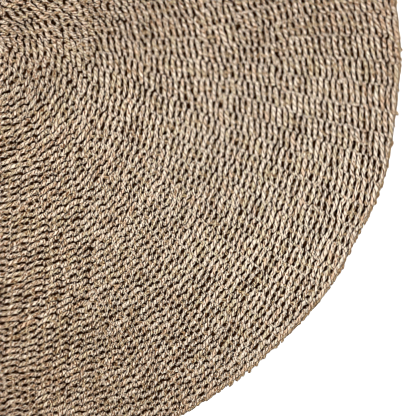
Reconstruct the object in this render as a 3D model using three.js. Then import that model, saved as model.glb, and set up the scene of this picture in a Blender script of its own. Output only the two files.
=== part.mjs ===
// A round floor rug, worked in rounds of stitches from thick twisted rope of plant fibre.
// It is one piece of cloth, so it is one closed solid: flat underneath, with a ridge for each
// round on top. Millimetres, +Z up. The origin is on the underside, at the centre of the rounds.
import * as THREE from "three";

// Driving dimensions
const RUG_RADIUS = 750; // mean distance from the centre of the rounds to the edge
const ROUNDS = 66; // rounds of stitches from the centre to the edge
const CREST_HEIGHT = 12; // top of the ridge that each round makes
const GROOVE_HEIGHT = 8.6; // bottom of the groove between two rounds

// The edge is the outer side of the last round's rope. From its crest down to the floor it passes
// these points, each given as how far it stays inside the edge and its height.
const EDGE_PROFILE = [
  { inset: 1.8, height: 9.6 },
  { inset: 0, height: 5.6 },
  { inset: 2.6, height: 0 },
];

// The rug is a little out of round. Each wave runs once round the edge with this many lobes, moves
// it in and out by this share of the radius, and has a lobe in this direction in degrees. Even
// numbers of lobes make opposite points of the edge lie equally far from the origin.
const EDGE_WAVES = [
  { lobes: 2, share: 0.0071, direction: -65 },
  { lobes: 4, share: 0.0023, direction: -32 },
  { lobes: 6, share: 0.0029, direction: -20.6 },
  { lobes: 16, share: 0.0018, direction: 5.7 },
  { lobes: 22, share: 0.0017, direction: -2.5 },
];

// Fineness of the rings of points. A ring has a side more, two at a time, as the rounds go out, and
// the outermost rounds are finer, so that the outline is smooth.
const SIDES_AT_CENTRE = 10;
const SIDES_PER_ROUND = 0.8;
const EDGE_SIDES = 144;
const FINE_ROUNDS = 3;

// Colour and finish of the bare rope
const ROPE_COLOUR = 0x9d8972;
const ROPE_ROUGHNESS = 0.9;

const ROUND_WIDTH = RUG_RADIUS / ROUNDS;

// Share of the radius by which the edge lies outside a true circle at an angle in radians.
function edgeShare(angle) {
  return EDGE_WAVES.reduce((sum, { lobes, share, direction }) => {
    const fromLobe = angle - THREE.MathUtils.degToRad(direction);
    return sum + share * Math.cos(lobes * fromLobe);
  }, 0);
}

// Distance from the centre to a ring of this nominal radius at an angle. The first rounds are true
// circles, and those further out take on more and more of the edge's shape.
function reach(radius, angle) {
  return radius * (1 + (radius / RUG_RADIUS) * edgeShare(angle));
}

// Number of sides of the rings of one round, always even.
function sidesOf(round) {
  if (round > ROUNDS - FINE_ROUNDS) return EDGE_SIDES;
  return 2 * Math.round((SIDES_AT_CENTRE + SIDES_PER_ROUND * round) / 2);
}

// The rug's section, as rings from the centre of the top out over each ridge and groove, then down
// round the edge to the rim of the flat underside.
function sectionRings() {
  const rings = [];
  for (let round = 1; round <= ROUNDS; round += 1) {
    const sides = sidesOf(round);
    rings.push({ radius: (round - 0.5) * ROUND_WIDTH, height: CREST_HEIGHT, sides });
    if (round < ROUNDS) rings.push({ radius: round * ROUND_WIDTH, height: GROOVE_HEIGHT, sides });
  }
  for (const { inset, height } of EDGE_PROFILE) {
    rings.push({ radius: RUG_RADIUS - inset, height, sides: EDGE_SIDES });
  }
  return rings;
}

// Collects points and triangles, and makes them into a geometry.
class Surface {
  positions = [];
  indices = [];

  // Adds a point and returns its index.
  point(x, y, z) {
    this.positions.push(x, y, z);
    return this.positions.length / 3 - 1;
  }

  // Adds the points of a ring and returns their indices, counter-clockwise seen from above.
  ring({ radius, height, sides }) {
    return Array.from({ length: sides }, (_, side) => {
      const angle = (2 * Math.PI * side) / sides;
      const distance = reach(radius, angle);
      return this.point(distance * Math.cos(angle), distance * Math.sin(angle), height);
    });
  }

  // Closes a ring with triangles to a point before it on the section.
  fanFrom(centre, ring) {
    ring.forEach((corner, side) => {
      this.indices.push(centre, corner, ring[(side + 1) % ring.length]);
    });
  }

  // Closes a ring with triangles to a point after it on the section.
  fanTo(ring, centre) {
    ring.forEach((corner, side) => {
      this.indices.push(corner, centre, ring[(side + 1) % ring.length]);
    });
  }

  // Joins two rings that may differ in their number of sides. It goes round both together, and each
  // triangle steps along the ring whose next point comes first.
  band(before, after) {
    let b = 0;
    let a = 0;
    while (b < before.length || a < after.length) {
      const here = before[b % before.length];
      const there = after[a % after.length];
      if ((b + 1) / before.length < (a + 1) / after.length) {
        b += 1;
        this.indices.push(here, there, before[b % before.length]);
      } else {
        a += 1;
        this.indices.push(here, there, after[a % after.length]);
      }
    }
  }

  geometry() {
    const geometry = new THREE.BufferGeometry();
    geometry.setAttribute("position", new THREE.Float32BufferAttribute(this.positions, 3));
    geometry.setIndex(this.indices);
    geometry.computeVertexNormals();
    return geometry;
  }
}

function rugGeometry() {
  const surface = new Surface();
  const rings = sectionRings().map((ring) => surface.ring(ring));
  surface.fanFrom(surface.point(0, 0, GROOVE_HEIGHT), rings[0]);
  rings.slice(1).forEach((ring, inner) => surface.band(rings[inner], ring));
  surface.fanTo(rings.at(-1), surface.point(0, 0, 0));
  return surface.geometry();
}

const rope = new THREE.MeshStandardMaterial({
  color: ROPE_COLOUR,
  roughness: ROPE_ROUGHNESS,
  metalness: 0,
});

const rug = new THREE.Mesh(rugGeometry(), rope);
rug.name = "rug";

const part = new THREE.Group();
part.add(rug);

export default part;
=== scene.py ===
# %% [markdown]
# # A round rug of twisted plant-fibre rope
#
# The rug is one long rope, worked round and round from the centre in rows of slanted stitches.
# The CAD model is a flat round solid with a ridge for each row. This script dresses it: every
# stitch becomes its own short length of rope, over a ground sheet coloured in painted shade that
# closes the gaps.
#
# Everything is in metres, with the rug's underside at height 0 and the middle of its rows at the
# origin. The CAD box is kept, but hidden.

# %% Load the CAD model
import math

import bpy
import numpy as np
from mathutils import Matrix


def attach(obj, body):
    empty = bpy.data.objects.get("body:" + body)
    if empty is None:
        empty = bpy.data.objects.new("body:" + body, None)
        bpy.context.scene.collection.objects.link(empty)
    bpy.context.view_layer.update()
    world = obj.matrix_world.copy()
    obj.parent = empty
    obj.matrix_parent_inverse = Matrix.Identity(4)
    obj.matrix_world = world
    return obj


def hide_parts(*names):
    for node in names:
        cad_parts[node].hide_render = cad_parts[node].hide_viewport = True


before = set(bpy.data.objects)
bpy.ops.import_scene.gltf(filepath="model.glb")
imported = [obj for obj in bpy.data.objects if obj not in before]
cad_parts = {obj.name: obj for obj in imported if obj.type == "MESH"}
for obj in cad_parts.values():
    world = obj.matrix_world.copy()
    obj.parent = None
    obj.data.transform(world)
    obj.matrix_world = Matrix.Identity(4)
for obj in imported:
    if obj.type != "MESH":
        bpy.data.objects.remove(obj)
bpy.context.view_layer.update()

# %% [markdown]
# ## The camera
#
# The photograph looks straight down at the rug's lower right quarter, with the middle of the rows
# just outside the frame. A camera whose object has no rotation looks straight down, so only its
# place and its lens are needed. A longer lens from further away keeps the far corners unstretched,
# as in the photograph.

# %% Camera straight above the quarter that the photograph shows
VIEW_CENTRE = (0.3955, -0.2939)
CAMERA_HEIGHT = 1.794
LENS = 85.0
SENSOR = 36.0

camera_data = bpy.data.cameras.new("camera")
camera_data.lens = LENS
camera_data.sensor_width = SENSOR
camera = bpy.data.objects.new("camera", camera_data)
camera.location = (*VIEW_CENTRE, CAMERA_HEIGHT)
bpy.context.scene.collection.objects.link(camera)
bpy.context.scene.camera = camera
print("the frame is", round(CAMERA_HEIGHT * SENSOR / LENS, 3), "m wide on the floor")

# %% [markdown]
# ## The rug's own measures
#
# These repeat the CAD source: the radius, the number of rows and the small waves that make the
# edge a little uneven. Every stitch is placed in polar terms, an angle and a distance from the
# centre, and `reach` turns them into a place on the rug, so that rows and edge share one shape.

# %% Measures and the shape of a row
RADIUS = 0.750
ROWS = 66
ROW = RADIUS / ROWS
THICKNESS = 0.012
OFF_CENTRE = 0.008
OFF_CENTRE_REACH = 0.12
EDGE_WAVES = np.array([
    # lobes, share of the radius, direction of a lobe in degrees
    (2, 0.0071, -65.0),
    (4, 0.0023, -32.0),
    (6, 0.0029, -20.6),
    (16, 0.0018, 5.7),
    (22, 0.0017, -2.5),
])


def reach(radius, angle):
    """Distance from the centre: the radius, plus the edge's waves times its square over RADIUS."""
    lobes, share, direction = EDGE_WAVES.T
    turned = angle[..., None] - np.radians(direction)
    waves = (share * np.cos(lobes * turned)).sum(-1)
    return radius * (1 + radius / RADIUS * waves)


def on_rug(radius, angle, height):
    """Points from polar places: (reach cos angle, reach sin angle, height).

    The maker's start is never quite central: the first rows lie OFF_CENTRE to the left, and the
    shift fades out with a bell curve of the radius."""
    distance = reach(radius, angle)
    height = np.broadcast_to(height, distance.shape)
    shift = OFF_CENTRE * np.exp(-((radius / OFF_CENTRE_REACH) ** 2))
    return np.stack([distance * np.cos(angle) - shift, distance * np.sin(angle), height], -1)


print("a row is", round(ROW * 1000, 2), "mm wide")

# %% [markdown]
# ## Where the stitches lie
#
# Each row is longer than the one inside it, so the maker works twice into some stitches and each
# row gains two or three. A new row therefore takes the places of the last one, splits a few of
# them, and evens out only nearby, which leaves the stitches in long, slowly turning columns as on
# the real rug. The rows are worked out one after another, and each row is a whole array.

# %% Places of the stitches, row by row
STITCH = 0.0322
DRIFT = 0.00073
EVENING = 5
UNEVEN_SPLITS = 0.3
rng = np.random.default_rng(66)


def row_count(row):
    """Stitches in a row: its middle circle over the stitch length, and never too few to close."""
    return max(2 * row + 1, round(2 * math.pi * (row - 0.5) * ROW / STITCH))


def next_row(angles, row):
    """The angles of the next row: the last row's, a few split in two, then evened with neighbours.

    The places to split are spread evenly and turn on from row to row. Evening moves each stitch a
    quarter of the way to the middle of its two neighbours, a few times over."""
    added = row_count(row) - len(angles)
    if added > 0:
        spread = (np.arange(added) + rng.random() + UNEVEN_SPLITS * rng.random(added)) / added
        split = np.unique((spread * len(angles)).astype(int) % len(angles))
        gap = (np.roll(angles, -1) - angles) % (2 * math.pi)
        angles = np.sort(np.concatenate([angles, angles[split] + gap[split] / 2]))
    for _ in range(EVENING):
        before = angles - (angles - np.roll(angles, 1)) % (2 * math.pi)
        after = angles + (np.roll(angles, -1) - angles) % (2 * math.pi)
        angles = 0.5 * angles + 0.25 * (before + after)
    return angles - DRIFT / ((row - 0.5) * ROW)


def all_rows():
    """Row, angle and free length of every stitch, as three arrays."""
    angles = 2 * math.pi * np.arange(row_count(1)) / row_count(1)
    rows, places, lengths = [], [], []
    for row in range(1, ROWS + 1):
        if row > 1:
            angles = next_row(angles, row)
        ahead = (np.roll(angles, -1) - angles) % (2 * math.pi)
        behind = (angles - np.roll(angles, 1)) % (2 * math.pi)
        rows.append(np.full(len(angles), row))
        places.append(angles)
        lengths.append((ahead + behind) / 2 * (row - 0.5) * ROW)
    return (np.concatenate(each) for each in (rows, places, lengths))


row_of, angle_of, length_of = all_rows()
STITCHES = len(row_of)
print(STITCHES, "stitches, mean length", round(length_of.mean() * 1000, 1), "mm")

# %% [markdown]
# ## Lengths of rope along paths
#
# A stitch is a short rope that rises out of the work, crosses its row and dips under the next
# one. Nearly five thousand are needed, so each has a few dozen faces: a ring of points at each
# station of its path and a closed point at both ends. All ropes of a kind are worked out at once,
# in arrays of (rope, station, side, xyz).
#
# Two UV maps go with them. `rope` measures along the rope in strands and once round it, and the
# twist is drawn on it. `OFBake` gives every rope a cell of its own in a grid, so that colours can
# later be baked to an image without one rope printing on another.

# %% Chance that keeps within bounds
WIDEST_WOBBLE = 2.5


def wobble(size, spread):
    """Random numbers of the given array size and spread, kept within WIDEST_WOBBLE spreads."""
    return np.clip(rng.standard_normal(size), -WIDEST_WOBBLE, WIDEST_WOBBLE) * spread


print("chance moves nothing by more than", WIDEST_WOBBLE, "spreads")

# %% Rings of points round a path
STRANDS_ROUND = 3
BULGE = 0.86


def tube_rings(path, wide, high, twist, sides):
    """Rings of points round paths: centre + bulge (wide cos t sideways + high sin t upwards).

    Forwards is the path's direction, sideways is level and across it, and upwards completes the
    three. The turn t starts underneath, so that the seam of the map is hidden, and at such a
    corner that another lies straight sideways. The bulge is
    1 + BULGE (|sin pi s| - 0.5), where s counts strands: STRANDS_ROUND in a turn, and `twist`
    along the rope. So the rope swells and narrows where its strands come to the side."""
    forward = np.gradient(path, axis=1)
    forward /= np.linalg.norm(forward, axis=-1, keepdims=True)
    sideways = np.cross([0.0, 0.0, 1.0], forward)
    sideways /= np.linalg.norm(sideways, axis=-1, keepdims=True)
    upward = np.cross(forward, sideways)
    around = np.arange(sides) / sides
    turn = 2 * math.pi * (around - round(sides / 4) / sides)
    strand = STRANDS_ROUND * around + twist[..., None]
    bulge = 1 + BULGE * (np.abs(np.sin(math.pi * strand)) - 0.5)
    ring = (
        path[:, :, None]
        + (bulge * wide[..., None] * np.cos(turn))[..., None] * sideways[:, :, None]
        + (bulge * high[..., None] * np.sin(turn))[..., None] * upward[:, :, None]
    )
    return ring, forward


print("a rope's width swells from", round(1 - BULGE / 2, 2), "to", round(1 + BULGE / 2, 2))

# %% Faces of a tube, and where they lie on its map


def tube_faces(stations, sides):
    """Corners of one tube's faces: quads between rings, then triangles to the two end points."""
    station, side = np.meshgrid(np.arange(stations - 1), np.arange(sides), indexing="ij")
    here = station * sides + side
    beside = station * sides + (side + 1) % sides
    quads = np.stack([here, beside, beside + sides, here + sides], -1).reshape(-1, 4)
    near = np.arange(sides)
    near_next = (near + 1) % sides
    last = (stations - 1) * sides
    start = np.full(sides, stations * sides)
    tips = np.concatenate([
        np.stack([start, near_next, near], -1),
        np.stack([last + near, last + near_next, start + 1], -1),
    ])
    return quads, tips


def tube_map(stations, sides):
    """Where each face corner lies along the tube (0 to 1) and round it (0 to 1), quads first."""
    along = np.arange(1, stations + 1) / (stations + 1)
    station, side = np.meshgrid(np.arange(stations - 1), np.arange(sides), indexing="ij")
    low, high = along[station], along[station + 1]
    left, right = side / sides, (side + 1) / sides
    quads = np.stack([
        np.stack([low, low, high, high], -1),
        np.stack([left, right, right, left], -1),
    ], -1).reshape(-1, 2)
    left = np.arange(sides) / sides
    right = left + 1 / sides
    middle = left + 0.5 / sides
    flat = np.ones(sides)
    tips = np.concatenate([
        np.stack([
            np.stack([0 * flat, along[0] * flat, along[0] * flat], -1),
            np.stack([middle, right, left], -1),
        ], -1).reshape(-1, 2),
        np.stack([
            np.stack([along[-1] * flat, along[-1] * flat, flat], -1),
            np.stack([left, right, middle], -1),
        ], -1).reshape(-1, 2),
    ])
    return quads, tips


print("10 stations and 6 sides make", sum(map(len, tube_faces(10, 6))), "faces")

# %% Many ropes in one mesh, each with its own cell on the map
STRAND = 0.0070  # how far apart the strands' crests lie along the rope
START_STEPS = 40  # half strands among which each rope's twist starts by chance
LOCKED_SLIP = 0.10
TIP = 0.6
CELL_MARGIN = 0.06


def cells(count, shape):
    """Lower corner and size of each rope's own cell in a square grid of such cells."""
    columns = max(1, round(math.sqrt(count / shape)))
    lines = math.ceil(count / columns)
    number = np.arange(count)
    corner = np.stack([number % columns / columns, number // columns / lines], -1)
    return corner, np.array([1 / columns, 1 / lines])


def ropes(name, path, wide, high, tint, sides, shape, locked=False):
    """A mesh of closed ropes, with both maps and a `tint` attribute for each rope.

    The ends are the first and last centre moved out by TIP half widths. The twist starts
    somewhere else on every rope. `shape` is how much longer than high a rope's cell is. A rope
    that is `locked` takes half a strand from each station to the next, so that its stations lie
    on the strands and between them in turn."""
    count, stations = path.shape[:2]
    run = np.linalg.norm(np.diff(path, axis=1), axis=-1).sum(1)
    strands = np.full(count, (stations + 1) / 2) if locked else run / STRAND
    phase = rng.integers(0, START_STEPS, count) / 2
    phase = phase + (wobble(count, LOCKED_SLIP) if locked else 0)
    share = np.arange(1, stations + 1) / (stations + 1)
    twist = share * strands[:, None] + phase[:, None]
    rings, forward = tube_rings(path, wide, high, twist, sides)
    start = path[:, :1] - TIP * wide[:, :1, None] * forward[:, :1]
    end = path[:, -1:] + TIP * wide[:, -1:, None] * forward[:, -1:]
    points = np.concatenate([rings.reshape(count, -1, 3), start, end], 1)
    each = points.shape[1]
    quads, tips = tube_faces(stations, sides)
    first = (each * np.arange(count))[:, None, None]
    faces = (first + quads).reshape(-1, 4).tolist() + (first + tips).reshape(-1, 3).tolist()
    mesh = bpy.data.meshes.new(name)
    mesh.from_pydata(points.reshape(-1, 3), [], faces)

    quad_map, tip_map = tube_map(stations, sides)
    corner, size = cells(count, shape)
    inside = 1 - 2 * CELL_MARGIN
    strand_map, bake_map = [], []
    for part in (quad_map, tip_map):
        along = part[:, 0] * strands[:, None] + phase[:, None]
        around = np.broadcast_to(part[:, 1], along.shape)
        strand_map.append(np.stack([along, around], -1).reshape(-1, 2))
        place = corner[:, None] + size * (CELL_MARGIN + inside * part)
        bake_map.append(place.reshape(-1, 2))
    for title, both in (("rope", strand_map), ("OFBake", bake_map)):
        layer = mesh.uv_layers.new(name=title)
        layer.uv.foreach_set("vector", np.concatenate(both).astype(np.float32).ravel())
    mesh.uv_layers["rope"].active_render = True
    attribute = mesh.attributes.new("tint", "FLOAT_COLOR", "POINT")
    attribute.data.foreach_set("color", np.repeat(tint, each, 0).astype(np.float32).ravel())
    mesh.polygons.foreach_set("use_smooth", np.ones(len(mesh.polygons), bool))
    mesh.update()
    piece = bpy.data.objects.new(name, mesh)
    bpy.context.scene.collection.objects.link(piece)
    return piece


print("an unlocked rope turns once in", round(STRANDS_ROUND * STRAND * 1000, 1), "mm")

# %% [markdown]
# ## Tint of the stitches
#
# The rope is made of leaves of different plants and ages, so its colour wanders along its length:
# neighbours in a row are alike, and further on it is browner or paler. A smoothed random run
# along the whole rope gives that, with a little chance added for each stitch.

# %% A tint for every stitch, alike along the rope
TONE_WANDER, TONE_CHANCE, TONE_REACH = 0.02, 0.03, 6
HUE_WANDER, HUE_CHANCE, HUE_REACH = 0.10, 0.12, 9


def wandering(count, reach_along):
    """Random numbers smoothed along the rope by a bell curve, brought back to spread 1."""
    steps = np.arange(-3 * reach_along, 3 * reach_along + 1)
    bell = np.exp(-0.5 * (steps / reach_along) ** 2)
    smooth = np.convolve(rng.standard_normal(count + len(bell) - 1), bell, "valid")
    return (smooth - smooth.mean()) / smooth.std()


def tints(count, spread=1.0):
    """Columns: light or dark, red or green, a random number, and 1.

    The first two are 0.5 plus a part that wanders along the rope and one by chance."""
    tone = TONE_WANDER * wandering(count, TONE_REACH) + TONE_CHANCE * rng.standard_normal(count)
    tone = 0.5 + spread * tone
    hue = 0.5 + HUE_WANDER * wandering(count, HUE_REACH) + HUE_CHANCE * rng.standard_normal(count)
    both = np.clip(np.stack([tone, hue], -1), 0, 1)
    return np.concatenate([both, rng.random((count, 1)), np.ones((count, 1))], 1)


print("a tone lasts for about", 2 * TONE_REACH, "stitches, and a hue for", 2 * HUE_REACH)

# %% [markdown]
# ## The stitches on top
#
# Seen from above, a stitch starts as a rounded knuckle at the inner side of its row, leans
# outwards as it crosses, thins, and dips towards the next knuckle. Its height follows the same
# story: up at the knuckle, level, then gently down, so that the ropes of a row nearly run on into
# each other. No two are alike on handmade work, so each gets its own small shifts in place,
# slant, length, thickness and height. In the last row the stitches lean less, because nothing
# outside it pulls them over.

# %% Paths of the top stitches
ROPE = 0.0039  # half the rope's width
STATIONS = 10
STATION_ANGLE = math.pi / 2.6
MIDDLE, HALF_LENGTH = 0.02, 0.53  # shares of the stitch's free length
LEAN, HOOK, HOOK_MIDDLE = 0.0033, 0.22, 0.4
LAST_LEAN, LAST_INWARDS = 0.5, 0.0010  # for the last row
BEND, BEND_RATE = 0.0007, 3.2
NEAR_START, NEAR_DROP, NEAR_THIN = 0.72, 0.0014, 0.04
FAR_START, FAR_DROP, FAR_THIN, FAR_POWER = 0.35, 0.0012, 0.06, 1.5
KNUCKLE, KNUCKLE_AT, KNUCKLE_WIDE = 0.03, -0.62, 0.3
SWELL, SWELL_RATE = 0.03, 4.5
TOP = THICKNESS - 0.8 * ROPE
ROW_WANDER, ROW_REACH = 0.00012, 5
CHANCE = {
    "length": 0.03, "along": 0.0009, "lean": 0.08, "out": 0.0002, "out_station": 0.00045,
    "drop": 0.0003, "sink": 0.0001, "sink_station": 0.0002, "thick": 0.01, "thick_station": 0.07,
}


def row_wander():
    """How far each stitch's place in its row lies outwards: a smoothed run along the rope."""
    return ROW_WANDER * wandering(STITCHES, ROW_REACH)


def top_stitches():
    """Paths and half widths of the top stitches.

    q runs from -1 at the knuckle to 1 at the far end, a little closer together at the ends.
    Along the row a stitch goes length * (MIDDLE + HALF_LENGTH q). Outwards it goes LEAN times q
    and a little q squared, with a slow sine of q that gives every stitch a bend of its own. It
    falls a little by a square curve over its first eighth, and by a gentler power over its last
    third. A bell curve thickens the knuckle, and a sine and random steps make the rest uneven.
    CHANCE holds the spreads of what differs from stitch to stitch and from station to station."""
    q = np.sin(np.linspace(-1, 1, STATIONS) * STATION_ANGLE) / math.sin(STATION_ANGLE)
    size = (STITCHES, 1)
    full = (STITCHES, STATIONS)
    share = MIDDLE + HALF_LENGTH * q * (1 + wobble(size, CHANCE["length"]))
    along = length_of[:, None] * share + wobble(size, CHANCE["along"])
    last = row_of[:, None] == ROWS
    lean = LEAN * (1 + wobble(size, CHANCE["lean"])) * np.where(last, LAST_LEAN, 1)
    bend = BEND * np.sin(BEND_RATE * q + 2 * math.pi * rng.random(size))
    out = lean * (q + HOOK * (q**2 - HOOK_MIDDLE)) + bend + wander[:, None]
    out = out - np.where(last, LAST_INWARDS, 0)
    out = out + wobble(size, CHANCE["out"]) + wobble(full, CHANCE["out_station"])
    near = np.clip((-q - NEAR_START) / (1 - NEAR_START), 0, 1)
    far = np.clip((q - FAR_START) / (1 - FAR_START), 0, 1) ** FAR_POWER
    height = TOP - NEAR_DROP * near**2 - (FAR_DROP + wobble(size, CHANCE["drop"])) * far
    height = height - np.abs(wobble(size, CHANCE["sink"]))
    height = height - np.abs(wobble(full, CHANCE["sink_station"]))
    knuckle = 1 + KNUCKLE * np.exp(-(((q - KNUCKLE_AT) / KNUCKLE_WIDE) ** 2))
    thick = knuckle - FAR_THIN * far - NEAR_THIN * near
    swell = SWELL * np.sin(SWELL_RATE * q + 2 * math.pi * rng.random(size))
    uneven = 1 + wobble(size, CHANCE["thick"]) + swell + wobble(full, CHANCE["thick_station"])
    thick = thick * uneven
    radius = (row_of[:, None] - 0.5) * ROW
    angle = angle_of[:, None] - along / radius
    path = on_rug(radius + out, angle, height)
    return path, ROPE * thick, ROPE * thick


wander = row_wander()
top_path, top_wide, top_high = top_stitches()
top_tint = tints(STITCHES)
print("top stitches reach", round((top_path[..., 2] + top_high).max() * 1000, 2), "mm high")

# %% [markdown]
# The stitches' tints are shifted from row to row, darker at the middle and towards the edge than
# between, and a slow wave round the rug, stronger outwards, makes them paler and darker in turn.
# Both are painted light: together they lay a broad pool of light over the quarter in view,
# brightest between middle and edge and towards PALEST. The last rows are also a little redder,
# which is the rope's own colour, and part of their darkening is too.

# %% Painted light over the rows and round the rug, and redder last rows
PAINTED_LIGHT_ROWS = [1, 8, 20, 40, 47, 53, 60, 66]
ROW_PAINTED_LIGHT = [-0.26, -0.16, -0.07, 0, 0.04, -0.02, -0.03, -0.12]
RED_ROWS, RED_SHIFT = [58, 66], [0, 0.14]
LIGHT_WAVE, LIGHT_LOBES = 0.60, 3
PALEST = math.radians(-28)
# Painted light in the tone: darker middle and edge, and a three-lobed wave palest at PALEST.
top_tint[:, 0] += np.interp(row_of, PAINTED_LIGHT_ROWS, ROW_PAINTED_LIGHT)
top_tint[:, 0] += LIGHT_WAVE * row_of / ROWS * np.cos(LIGHT_LOBES * (angle_of - PALEST))
top_tint[:, 1] += np.interp(row_of, RED_ROWS, RED_SHIFT)
print("tone from", top_tint[:, 0].min().round(2), "to", top_tint[:, 0].max().round(2))

# %% [markdown]
# The stitches are dealt into a dozen pieces, one row to each in turn. Every piece then spans the
# rug and has a map of its own, with room enough for each stitch to keep its twist when baked.

# %% Deal the top stitches into pieces
TOP_PIECES = 12


def dealt(name, deals, rows, path, wide, high, tint, **options):
    """One piece for each deal: the ropes of rows deal, deal + deals, and so on."""
    pieces = []
    for deal in range(deals):
        chosen = rows % deals == deal
        parts = (values[chosen] for values in (path, wide, high, tint))
        pieces.append(ropes(f"{name}_{deal + 1}", *parts, **options))
    return pieces


top_shape = (top_path, top_wide, top_high)
top_pieces = dealt(
    "stitches", TOP_PIECES, row_of, *top_shape, top_tint, sides=6, shape=1.9, locked=True
)
print(len(top_pieces), "pieces, the first of", len(top_pieces[0].data.polygons), "faces")

# %% [markdown]
# ## The loops between the rows
#
# Under each stitch the rope goes down into the row inside it. In the gap between two rows that
# shows as a lower bit of rope near the middle of every stitch, coloured browner and darker as
# painted shade for the shadow of the gap. Now and then a second bit comes up elsewhere, where the
# maker had to catch the row twice. About a third of the bits are pulled so deep that they hardly
# show, and the gap there is one long dark slit.

# %% Loops in the gaps
FEW_STATIONS = 4  # for all the ropes that show less than the top stitches
LOOP_WIDE, LOOP_HIGH = 0.0029, 0.0024
LOOP_PLACE, LOOP_SLANT, LOOP_OUT, LOOP_RUN = 0.03, -0.001, -0.0060, 0.0050
LOOP_HEIGHT, LOOP_SAG, LOOP_DEEPER = 0.0082, 0.0006, 0.0020
LOOP_CLEAR = 1.5
LOOP_CHANCE = {"place": 0.04, "slant": 0.002, "out": 0.0005, "height": 0.0006, "thick": 0.11}
LOOP_PIECES = 3
SECOND_LOOPS = 0.10
DEEP_LOOPS = 0.35
NEAREST = 0.001  # no loop comes closer to the rug's centre


def gap_loops():
    """Short paths across the gap: from under the stitch to the next row inwards, sagging.

    The first loops lie near the middle of their stitch, and the second ones anywhere along it.
    LOOP_OUT and LOOP_RUN take q across the gap, and LOOP_SAG times 1 - q squared sinks the middle.
    A share of them, DEEP_LOOPS, lies LOOP_DEEPER lower. LOOP_CLEAR half heights keep every one
    off the floor."""
    q = np.linspace(-1, 1, FEW_STATIONS)
    stitch = np.arange(STITCHES)
    again = stitch[rng.random(STITCHES) < SECOND_LOOPS]
    stitch = np.concatenate([stitch, again])
    size = (len(stitch), 1)
    place = LOOP_PLACE + wobble(size, LOOP_CHANCE["place"])
    place[STITCHES:, 0] = rng.random(len(again)) - 0.5
    slant = LOOP_SLANT + wobble(size, LOOP_CHANCE["slant"])
    along = length_of[stitch, None] * place + slant * q
    out = LOOP_OUT + LOOP_RUN * q + wobble(size, LOOP_CHANCE["out"])
    height = LOOP_HEIGHT - LOOP_SAG * (1 - q**2) + wobble(size, LOOP_CHANCE["height"])
    height = height - np.where(rng.random(size) < DEEP_LOOPS, LOOP_DEEPER, 0)
    thick = 1 + wobble(size, LOOP_CHANCE["thick"]) + 0 * q
    height = np.maximum(height, LOOP_CLEAR * LOOP_HIGH * thick)
    radius = (row_of[stitch, None] - 0.5) * ROW
    angle = angle_of[stitch, None] - along / radius
    path = on_rug(np.maximum(radius + out, NEAREST), angle, height)
    return row_of[stitch], path, LOOP_WIDE * thick, LOOP_HIGH * thick


loop_rows, *loop_shape = gap_loops()
loop_tint = tints(len(loop_rows))
loop_pieces = dealt("loops", LOOP_PIECES, loop_rows, *loop_shape, loop_tint, sides=4, shape=1.2)
print(len(loop_rows), "loops in", len(loop_pieces), "pieces")

# %% [markdown]
# ## The underside
#
# The photograph doesn't show the floor side. Here the same rope lies pressed flatter and wider,
# one length to a stitch, slanting the other way, with its ends drawn up a little into the work.

# %% Paths of the underside stitches
UNDER_WIDE, UNDER_HIGH = 0.0050, 0.0022
UNDER_MIDDLE, UNDER_HALF = 0.5, 0.52
UNDER_LEAN, UNDER_THIN, UNDER_RISE = 0.0016, 0.22, 0.0008
UNDER_CLEAR = 1.44
UNDER_CHANCE = {"along": 0.0012, "lean": 0.3, "out": 0.0006, "thick": 0.06}
UNDER_PIECES = 6


def under_stitches():
    """Paths and half widths below: level runs along the row, thinner at the ends by q to the 4.

    Their ends rise by up to 0.4 mm. UNDER_CLEAR half heights, a little more than the strands
    bulge, keep the ropes just off the floor."""
    q = np.linspace(-1, 1, FEW_STATIONS)
    size = (STITCHES, 1)
    along = length_of[:, None] * (UNDER_MIDDLE + UNDER_HALF * q)
    along = along + wobble(size, UNDER_CHANCE["along"])
    out = UNDER_LEAN * q * (1 + wobble(size, UNDER_CHANCE["lean"]))
    out = out + wobble(size, UNDER_CHANCE["out"])
    thick = (1 - UNDER_THIN * q**4) * (1 + wobble(size, UNDER_CHANCE["thick"]))
    height = UNDER_CLEAR * UNDER_HIGH * thick + UNDER_RISE * np.clip(np.abs(q) - 0.5, 0, 1)
    radius = (row_of[:, None] - 0.5) * ROW
    path = on_rug(radius + out, angle_of[:, None] - along / radius, height)
    return path, UNDER_WIDE * thick, UNDER_HIGH * thick


under_shape = under_stitches()
under_tint = tints(STITCHES)
under_pieces = dealt(
    "underside", UNDER_PIECES, row_of, *under_shape, under_tint, sides=4, shape=1.9
)
lowest = min(corner[2] for piece in under_pieces for corner in piece.bound_box)
print("the underside's ropes start", round(lowest * 1000, 3), "mm above the floor")

# %% [markdown]
# ## The edge
#
# Beyond the last row the rope shows once more as a chain of short links, where each stitch turns
# back under the work. They are thinner and browner than the stitches and lie a little lower; the
# brown is partly their own colour and partly painted shade, darker the lower they lie. They make
# the rug's outline, which is nearly smooth with small bumps, so some stick out a bit more.

# %% Links along the edge
EDGE_LINKS = 6
LINK, LINK_HALF, LINK_START = 0.0023, 0.0038, 0.3
LINK_OUT, LINK_LEAN, LINK_ARCH = 0.0034, 0.0014, 0.0007
LINK_HEIGHT, LINK_FALL, LINK_THIN = 0.0074, 0.0012, 0.30
LINK_CHANCE = {
    "place": 0.0016, "half": 0.0007, "lean": 0.0012, "out": 0.0009, "fall": 0.0006,
    "height": 0.0008, "thick": 0.15,
}
PROUD_LINKS, PROUD_BY = 0.3, 0.0016


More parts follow.
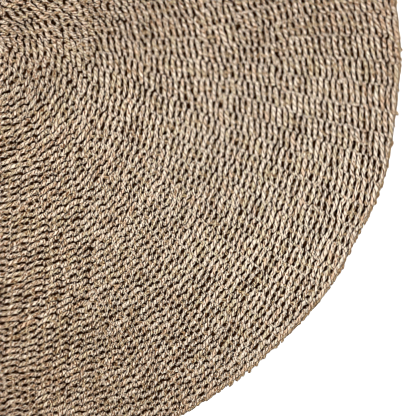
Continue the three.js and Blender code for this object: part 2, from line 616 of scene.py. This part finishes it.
def edge_links():
    """Short slanted lengths of rope side by side along the edge, like the links of a chain.

    q runs from -1 to 1. A link goes LINK_HALF each way along the edge, a little outwards less a
    square of q, and a little down, and thins towards its ends by the square of q. A share of
    them, PROUD_LINKS, sticks out PROUD_BY further."""
    last = row_of == ROWS
    angle = np.repeat(angle_of[last], EDGE_LINKS)
    length = np.repeat(length_of[last], EDGE_LINKS)
    count = len(angle)
    size = (count, 1)
    place = (np.arange(count) % EDGE_LINKS)[:, None] / EDGE_LINKS
    q = np.linspace(-1, 1, FEW_STATIONS)
    along = length[:, None] * (place - LINK_START) + wobble(size, LINK_CHANCE["place"])
    along = along + (LINK_HALF + wobble(size, LINK_CHANCE["half"])) * q
    out = LINK_OUT + (LINK_LEAN + wobble(size, LINK_CHANCE["lean"])) * q - LINK_ARCH * q**2
    out = out + wobble(size, LINK_CHANCE["out"])
    out = out + np.where(rng.random(size) < PROUD_LINKS, PROUD_BY, 0)
    height = LINK_HEIGHT - (LINK_FALL + wobble(size, LINK_CHANCE["fall"])) * q
    height = height + wobble(size, LINK_CHANCE["height"])
    thick = 1 - LINK_THIN * q**2 + wobble(size, LINK_CHANCE["thick"])
    radius = (ROWS - 0.5) * ROW
    path = on_rug(radius + out, angle[:, None] - along / radius, height)
    return path, LINK * thick, LINK * thick


edge_shape = edge_links()
edge_tint = tints(len(edge_shape[0]), spread=1.6)
edge_piece = ropes("edge", *edge_shape, edge_tint, sides=5, shape=1.2)
print(len(edge_tint), "links along the edge")

# %% [markdown]
# ## The ground
#
# Looking down a gap one sees only the dark inside of the work. A thin closed sheet stands for it,
# with a low ridge under each row. It is the cloth that everything else lies on.
# Its dark browns are painted shade: they stand for the shadow one sees deep in the gaps.

# %% Ground sheet as a grid of rings
GROUND_LOW = 0.0044
GROUND_TOP = 0.0052
GROUND_RIDGE = 0.0010
GROUND_SIDES = 96
GROUND_RADIUS = RADIUS - 0.0040
GROUND_RIM = 0.001
COARSER_BELOW = 8
FACES_DOWN = 0.3  # faces whose normal's z is lower count as the underside
MAP_SPAN, MAP_STRETCH = 4.2, 1.9
MAP_TOP, MAP_UNDER = 0.25, 0.75  # the middles of the two discs on the map


def ground_sheet():
    """A disc whose top is GROUND_TOP + ridge * |sin| of the distance in rows, flat below.

    Rings go out from a point in the middle of the top, over the edge, and in again to a point
    in the middle of the underside, where they lie further apart. The map shows the top on its
    left half and the underside on its right."""
    top = np.arange(1, 2 * ROWS) * ROW / 2
    below = top[::-COARSER_BELOW]
    radius = np.concatenate([top, [GROUND_RADIUS, GROUND_RADIUS + GROUND_RIM], below])
    ridge = GROUND_TOP + GROUND_RIDGE * np.abs(np.sin(math.pi * top / ROW))
    height = np.concatenate([ridge, [GROUND_TOP, GROUND_LOW], np.full(len(below), GROUND_LOW)])
    angle = 2 * math.pi * np.arange(GROUND_SIDES) / GROUND_SIDES
    rings = on_rug(
        np.broadcast_to(radius[:, None], (len(radius), GROUND_SIDES)),
        np.broadcast_to(angle, (len(radius), GROUND_SIDES)),
        np.broadcast_to(height[:, None], (len(radius), GROUND_SIDES)),
    )
    ring, side = np.meshgrid(np.arange(len(radius) - 1), np.arange(GROUND_SIDES), indexing="ij")
    here = ring * GROUND_SIDES + side
    beside = ring * GROUND_SIDES + (side + 1) % GROUND_SIDES
    quads = np.stack([here, here + GROUND_SIDES, beside + GROUND_SIDES, beside], -1)
    near = np.arange(GROUND_SIDES)
    near_next = (near + 1) % GROUND_SIDES
    last = (len(radius) - 1) * GROUND_SIDES
    middle = np.full(GROUND_SIDES, len(radius) * GROUND_SIDES)
    tips = np.concatenate([
        np.stack([middle, near, near_next], -1),
        np.stack([last + near, middle + 1, last + near_next], -1),
    ])
    points = np.concatenate([rings.reshape(-1, 3), [(0, 0, GROUND_TOP), (0, 0, GROUND_LOW)]])
    mesh = bpy.data.meshes.new("ground")
    mesh.from_pydata(points, [], quads.reshape(-1, 4).tolist() + tips.tolist())
    corner = np.empty(len(mesh.loops), np.int32)
    mesh.loops.foreach_get("vertex_index", corner)
    spot = points[corner, :2] / (MAP_SPAN * RADIUS)
    sizes = np.empty(len(mesh.polygons), np.int32)
    mesh.polygons.foreach_get("loop_total", sizes)
    facing = np.empty(3 * len(mesh.polygons), np.float32)
    mesh.polygons.foreach_get("normal", facing)
    downwards = np.repeat(facing[2::3] < FACES_DOWN, sizes)
    across = spot[:, 0] + np.where(downwards, MAP_UNDER, MAP_TOP)
    flat = np.stack([across, spot[:, 1] + MAP_TOP], -1)
    flat[:, 1] *= MAP_STRETCH
    layer = mesh.uv_layers.new(name="OFBake")
    layer.uv.foreach_set("vector", flat.astype(np.float32).ravel())
    mesh.polygons.foreach_set("use_smooth", np.ones(len(mesh.polygons), bool))
    mesh.update()
    piece = bpy.data.objects.new("ground", mesh)
    bpy.context.scene.collection.objects.link(piece)
    return piece


ground = ground_sheet()
print("ground has", len(ground.data.polygons), "faces")

# %% [markdown]
# ## Shader maths in Python
#
# A procedural material is a sum of small formulas. Written as nodes they are hard to read, so a
# small class wraps a socket, and Python's operators on it add the Math nodes. Any other node
# comes from one method, which takes its type, its settings and the values or links of its sockets.

# %% A socket with operators


class Value:
    """A node's output in a material. Operators on it add the Math nodes that work them out."""

    def __init__(self, tree, socket):
        self.tree = tree
        self.socket = socket

    def math(self, operation, *others):
        return node(self.tree, "ShaderNodeMath", {"operation": operation}, [self, *others])

    def __add__(self, other):
        return self.math("ADD", other)

    def __sub__(self, other):
        return self.math("SUBTRACT", other)

    def __rsub__(self, other):
        return node(self.tree, "ShaderNodeMath", {"operation": "SUBTRACT"}, [other, self])

    def __mul__(self, other):
        return self.math("MULTIPLY", other)

    def __pow__(self, other):
        return self.math("POWER", other)

    def __abs__(self):
        return self.math("ABSOLUTE")

    __radd__ = __add__
    __rmul__ = __mul__

    def sine(self):
        return self.math("SINE")

    def floor(self):
        return self.math("FLOOR")

    def between(self, low, high):
        """0 below low, 1 above high, and a smooth curve between them."""
        settings = {"interpolation_type": "SMOOTHSTEP"}
        names = {"Value": self, "From Min": low, "From Max": high}
        return node(self.tree, "ShaderNodeMapRange", settings, names)


# %% One method for every other node


def node(tree, kind, settings=None, values=None, output=0):
    """A new node: its settings are set first, then its sockets get their values or links.

    Sockets are given by name or number in a dict, or in order in a list. A ramp's stops are a
    setting: a list of (place, colour)."""
    made = tree.nodes.new(kind)
    for name, setting in (settings or {}).items():
        if name == "stops":
            ramp = made.color_ramp
            while len(ramp.elements) < len(setting):
                ramp.elements.new(1.0)
            for element, (place, colour) in zip(ramp.elements, setting):
                element.position = place
                element.color = (*colour, 1.0)
        else:
            setattr(made, name, setting)
    named = enumerate(values) if isinstance(values, list) else (values or {}).items()
    for name, value in named:
        if isinstance(value, Value):
            tree.links.new(value.socket, made.inputs[name])
        else:
            made.inputs[name].default_value = value
    return Value(tree, made.outputs[output])


def blend_colours(tree, share, first, second, mode="MIX"):
    """A Mix node on colours: first where share is 0, second where it is 1."""
    values = {0: share, 6: first, 7: second}
    return node(tree, "ShaderNodeMix", {"data_type": "RGBA", "blend_type": mode}, values, 2)


# %% Screen colours, and a material's start and end


def linear(red, green, blue):
    """A colour given in screen values from 0 to 255, as the linear numbers a shader works in."""
    screen = np.array([red, green, blue]) / 255
    low = screen / 12.92
    high = ((screen + 0.055) / 1.055) ** 2.4
    return tuple(float(value) for value in np.where(screen < 0.04045, low, high))


def new_material(name):
    """An empty material, and its node tree."""
    material = bpy.data.materials.new(name)
    material.use_nodes = True
    material.node_tree.nodes.clear()
    return material, material.node_tree


def finish_material(tree, **sockets):
    """Adds the Principled shader with these sockets, and the output."""
    values = {name.replace("_", " "): value for name, value in sockets.items()}
    shader = node(tree, "ShaderNodeBsdfPrincipled", None, values)
    output = tree.nodes.new("ShaderNodeOutputMaterial")
    tree.links.new(shader.socket, output.inputs["Surface"])


print("a screen's grey 188 is", round(linear(188, 188, 188)[0], 2), "in a shader")

# %% [markdown]
# ## The rope's material
#
# The rope is three strands twisted together. On the `rope` map a strand is a slanted line, and the
# absolute value of a sine across the strands is round on top with a sharp valley between, as
# a twisted rope is. A coarse noise stands for knots and bends in the leaves and a fine one for
# their fibres. Both feed the colour and the bump. Each strand and each stitch also has a tint of
# its own, and on the top stitches that tint also carries painted light. The colour is darkened as
# painted shade in the valleys between the strands and low down in the work, where shadow falls.

# %% Noise that follows the strands
FIBRES = {"across": 4.2, "along": 3.2, "ropes": 60.0, "Detail": 3.0, "Roughness": 0.65}
KNOTS = {"across": 2.8, "along": 2.2, "ropes": 90.0, "Detail": 1.0, "Roughness": 0.5}


def rope_noise(tree, strand, along, seed, kind):
    """A noise on the rope's map, stretched along the strands, and different on every rope."""
    axes = [strand * kind["across"], along * kind["along"], seed * kind["ropes"]]
    place = node(tree, "ShaderNodeCombineXYZ", None, axes)
    values = {"Vector": place, "Scale": 1.0}
    values.update({name: kind[name] for name in ("Detail", "Roughness")})
    return node(tree, "ShaderNodeTexNoise", None, values)


print("fibres are", round(FIBRES["across"] / KNOTS["across"], 2), "times as fine as knots")

# %% Rope material
KNOT_LIGHT, FIBRE_LIGHT, STRAND_LIGHT, TONE_LIGHT, LIGHT_START = 1.8, 1.8, 0.10, 0.28, 1.27
SEED_SPAN = 90.0
STRAND_HUE, STITCH_HUE = 0.7, 0.5
RUST, GREEN = linear(245, 227, 212), linear(242, 241, 224)
# The last pair: ridge heights over which the painted shade in the strands' valleys fades out.
RUSTY, GREENISH, VALLEY_SHADE = (0.84, 1.02), (0.28, 0.48), (0.0, 0.52)
STRAND_ROUNDNESS, KNOT_RELIEF, FIBRE_RELIEF = 0.6, 2.0, 2.2
TWIST_DEPTH = 0.0011
DRYNESS, FIBRE_SHEEN, ROPE_SPECULAR = 0.92, 0.25, 0.15


def rope_material(name, stops, valley_shade, low_shade, shade_heights):
    """Rope finish from a ramp of straw colours and two colours of painted shade.

    The third colour is painted in the valleys between the strands, and the fourth low down in the
    work, on the rope's flanks and in the gaps. The last argument is the height at which the low
    shade is full, and that at which it ends."""
    material, tree = new_material(name)
    uv = node(tree, "ShaderNodeUVMap", {"uv_map": "rope"})
    along = node(tree, "ShaderNodeSeparateXYZ", None, [uv], 0)
    around = node(tree, "ShaderNodeSeparateXYZ", None, [uv], 1)
    tint = node(tree, "ShaderNodeAttribute", {"attribute_name": "tint"})
    parts = tree.nodes.new("ShaderNodeSeparateColor")
    tree.links.new(tint.socket, parts.inputs[0])
    tone, hue, seed = (Value(tree, parts.outputs[number]) for number in range(3))

    strand = around * STRANDS_ROUND + along
    ridge = abs((strand * math.pi).sine())
    fibres = rope_noise(tree, strand, along, seed, FIBRES)
    knots = rope_noise(tree, strand, along, seed, KNOTS)
    own = node(tree, "ShaderNodeCombineXYZ", None, [strand.floor(), seed * SEED_SPAN, 0.0])
    each = node(tree, "ShaderNodeTexWhiteNoise", {"noise_dimensions": "2D"}, {"Vector": own})

    light = knots * KNOT_LIGHT + fibres * FIBRE_LIGHT + each * STRAND_LIGHT
    # On the top stitches the tone also carries the painted light of the rows and the wave.
    light = light + (tone - 0.5) * TONE_LIGHT - LIGHT_START
    straw = node(tree, "ShaderNodeValToRGB", {"stops": stops}, {"Fac": light})
    rust = blend_colours(tree, 1.0, straw, (*RUST, 1), "MULTIPLY")
    green = blend_colours(tree, 1.0, straw, (*GREEN, 1), "MULTIPLY")
    odd = each * STRAND_HUE + hue * STITCH_HUE
    colour = blend_colours(tree, odd.between(*RUSTY), straw, rust)
    colour = blend_colours(tree, 1 - odd.between(*GREENISH), colour, green)
    # Painted shade: darker in the valleys between the strands.
    colour = blend_colours(tree, 1 - ridge.between(*VALLEY_SHADE), colour, (*valley_shade, 1))
    # Painted shade: darker low down on the rope, on its flanks and in the gaps.
    spot = node(tree, "ShaderNodeTexCoord", None, None, 3)
    height = node(tree, "ShaderNodeSeparateXYZ", None, [spot], 2)
    colour = blend_colours(tree, 1 - height.between(*shade_heights), colour, (*low_shade, 1))

    relief = ridge**STRAND_ROUNDNESS + knots * KNOT_RELIEF + fibres * FIBRE_RELIEF
    values = {"Strength": 1.0, "Distance": TWIST_DEPTH, "Height": relief}
    bump = node(tree, "ShaderNodeBump", None, values)
    finish_material(
        tree,
        Base_Color=colour,
        Roughness=DRYNESS - FIBRE_SHEEN * fibres,
        Normal=bump,
        Specular_IOR_Level=ROPE_SPECULAR,
    )
    return material


# %% The ropes on top, in the gaps and underneath
STRAW = [
    (0.12, linear(104, 62, 26)),
    (0.30, linear(156, 119, 84)),
    (0.48, linear(202, 184, 162)),
    (0.90, linear(227, 217, 201)),
]
# Loops and edge: the edge links' own browner colour, and painted shade on the loops in the gaps.
BROWNER_AND_SHADED = [
    (0.12, linear(92, 60, 32)),
    (0.42, linear(156, 124, 90)),
    (0.80, linear(208, 186, 154)),
]
# In each rope the last two colours are painted shade: in the strands' valleys and low down.
top_rope = rope_material(
    "top_rope", STRAW, linear(84, 42, 12), linear(62, 24, 0), shade_heights=(0.0078, 0.0112)
)
low_rope = rope_material(
    "low_rope", BROWNER_AND_SHADED, linear(84, 52, 26), linear(64, 34, 10), shade_heights=(0.0030, 0.0085)
)
# The underside's low shade lies below the floor, so there only the valleys get painted shade.
under_rope = rope_material(
    "under_rope", STRAW, linear(96, 68, 42), linear(104, 78, 52), shade_heights=(-0.004, -0.002)
)
print("three ropes, the top one with", len(top_rope.node_tree.nodes), "nodes")

# %% [markdown]
# ## The ground's material
#
# The ground's dark browns are painted shade, for the shadow deep in the work. Two noises of
# different sizes keep it from being one flat brown, and a fine bump breaks up its surface.

# %% Ground material
SHADE_BROWNS = [(0.30, linear(16, 6, 1)), (0.55, linear(40, 20, 6)), (0.75, linear(72, 42, 18))]
PATCHES, DUST = {"Scale": 90.0, "Detail": 2.0}, {"Scale": 700.0, "Detail": 3.0}
PATCH_SHARE, DUST_SHARE = 0.6, 0.4
DUST_DEPTH = 0.0006
GROUND_DRYNESS, DUST_SHEEN = 1.0, 0.1


def ground_material():
    """Painted shade in dark browns: a ramp over a coarse and a fine noise, with the fine one as a
    bump.
    """
    material, tree = new_material("painted_shade_ground")
    spot = node(tree, "ShaderNodeTexCoord", None, None, 3)
    coarse = node(tree, "ShaderNodeTexNoise", None, {"Vector": spot, **PATCHES})
    fine = node(tree, "ShaderNodeTexNoise", None, {"Vector": spot, **DUST})
    mixed = coarse * PATCH_SHARE + fine * DUST_SHARE
    colour = node(tree, "ShaderNodeValToRGB", {"stops": SHADE_BROWNS}, {"Fac": mixed})
    bump = node(tree, "ShaderNodeBump", None, {"Distance": DUST_DEPTH, "Height": fine})
    finish_material(
        tree,
        Base_Color=colour,
        Roughness=GROUND_DRYNESS - DUST_SHEEN * fine,
        Normal=bump,
        Specular_IOR_Level=0.0,
    )
    return material


ground.data.materials.append(ground_material())
for piece in top_pieces:
    piece.data.materials.append(top_rope)
for piece in loop_pieces + [edge_piece]:
    piece.data.materials.append(low_rope)
for piece in under_pieces:
    piece.data.materials.append(under_rope)
print("the ground's stops", [place for place, _ in SHADE_BROWNS])

# %% [markdown]
# ## Which piece stands for what
#
# All pieces move with the rug's one body and stand for its one CAD node. The ground is the sheet
# of cloth, cut 1.5 m across, with the rope pieces on it.

# %% Ride and replace
rope_pieces = top_pieces + loop_pieces + under_pieces + [edge_piece]
for piece in [ground] + rope_pieces:
    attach(piece, "root")
    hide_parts("rug")
triangles = [
    sum(len(face.vertices) - 2 for face in piece.data.polygons)
    for piece in [ground] + rope_pieces
]
print(sum(triangles), "triangles in", len(triangles), "pieces, at most", max(triangles))

# %% [markdown]
# ## Floor and light
#
# The rug lies on a plain near-white floor. The light is that of a studio: one large soft panel
# overhead, a little to the upper left, and an even, slightly warm surround that fills the shadows.
# The film filter is narrow, because a wide one would blur fibres that are finer than a pixel.

# %% Floor
FLOOR_HALF = 6.0
NEAR_WHITE, FLOOR_ROUGHNESS = (0.88, 0.88, 0.88, 1), 0.9

floor_mesh = bpy.data.meshes.new("floor")
corners = [(FLOOR_HALF * x, FLOOR_HALF * y, 0) for x, y in ((-1, -1), (1, -1), (1, 1), (-1, 1))]
floor_mesh.from_pydata(corners, [], [(0, 1, 2, 3)])
floor = bpy.data.objects.new("floor", floor_mesh)
bpy.context.scene.collection.objects.link(floor)
floor_paint, floor_tree = new_material("floor_paint")
finish_material(floor_tree, Base_Color=NEAR_WHITE, Roughness=FLOOR_ROUGHNESS)
floor_mesh.materials.append(floor_paint)
print("the floor is", 2 * FLOOR_HALF, "m wide")

# %% Panel and surround
PANEL_SIZE = 0.8
PANEL_ENERGY = 73.5
PANEL_PLACE = (0.15, 0.05, 2.4)
PANEL_AIM = (0.40, -0.30, 0.0)
SURROUND, SURROUND_STRENGTH = (1.0, 0.975, 0.94, 1), 0.55
FILTER_WIDTH = 0.7

panel_data = bpy.data.lights.new("panel", "AREA")
panel_data.shape = "DISK"
panel_data.size = PANEL_SIZE
panel_data.energy = PANEL_ENERGY
panel = bpy.data.objects.new("panel", panel_data)
panel.location = PANEL_PLACE
aim = np.array(PANEL_AIM) - np.array(panel.location)
tilt = math.acos(-aim[2] / np.linalg.norm(aim))
panel.rotation_euler = (tilt, 0.0, math.atan2(aim[1], aim[0]) - math.pi / 2)
bpy.context.scene.collection.objects.link(panel)
print("the panel leans", round(math.degrees(tilt), 1), "degrees from straight down")

world = bpy.data.worlds.new("surround")
world.use_nodes = True
background = world.node_tree.nodes["Background"]
background.inputs["Color"].default_value = SURROUND
background.inputs["Strength"].default_value = SURROUND_STRENGTH
bpy.context.scene.world = world
bpy.context.scene.view_settings.view_transform = "Standard"
bpy.context.scene.cycles.filter_width = FILTER_WIDTH
